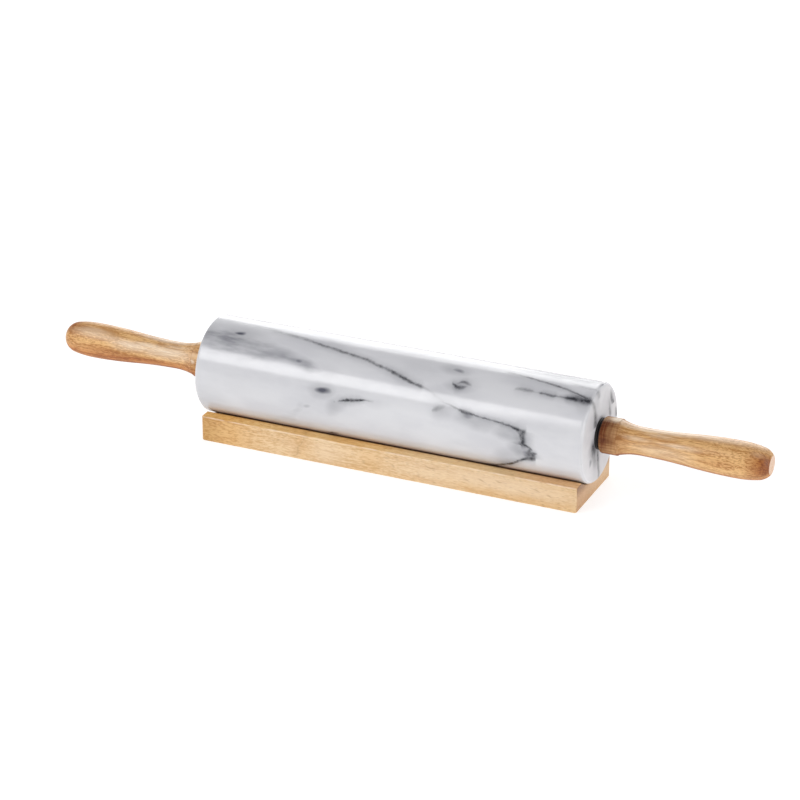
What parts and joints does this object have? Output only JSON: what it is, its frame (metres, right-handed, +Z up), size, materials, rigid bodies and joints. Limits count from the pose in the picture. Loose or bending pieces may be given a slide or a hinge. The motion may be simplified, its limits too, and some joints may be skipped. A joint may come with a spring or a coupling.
{
  "type": "rolling pin",
  "caption": "Marble rolling pin with turned wooden handles on a steel rod, resting in a low wooden cradle with a round trough.",
  "frame": {"origin": "centre of the cradle's flat underside, on the table", "axes": "+Z up, +X along the pin towards its right-hand handle, +Y away from the picture's front side"},
  "size_m": [0.4644, 0.061, 0.0711],
  "materials": {
    "marble": "polished",
    "handle_wood": "satin lacquer",
    "cradle_wood": "satin lacquer",
    "black_plastic": "moulded",
    "rod_steel": "drawn",
    "insert_brass": "turned"
  },
  "bodies": {
    "cradle": {"cradle": "cradle_wood"},
    "roller": {"marble_roller": "marble", "left_bushing": "black_plastic", "right_bushing": "black_plastic"},
    "handles": {"axle_rod": "rod_steel", "left_washer": "black_plastic", "right_washer": "black_plastic", "left_insert": "insert_brass", "right_insert": "insert_brass", "left_handle": "handle_wood", "right_handle": "handle_wood"}
  },
  "joints": [
    {"name": "lift_off", "type": "slide", "parent": "cradle", "child": "roller", "axis": [0, 0, 1], "range_m": [0, 0.12]},
    {"name": "handle_spin", "type": "hinge", "parent": "roller", "child": "handles", "pos_m": [0, 0, 0.0406], "axis": [1, 0, 0], "continuous": true}
  ]
}
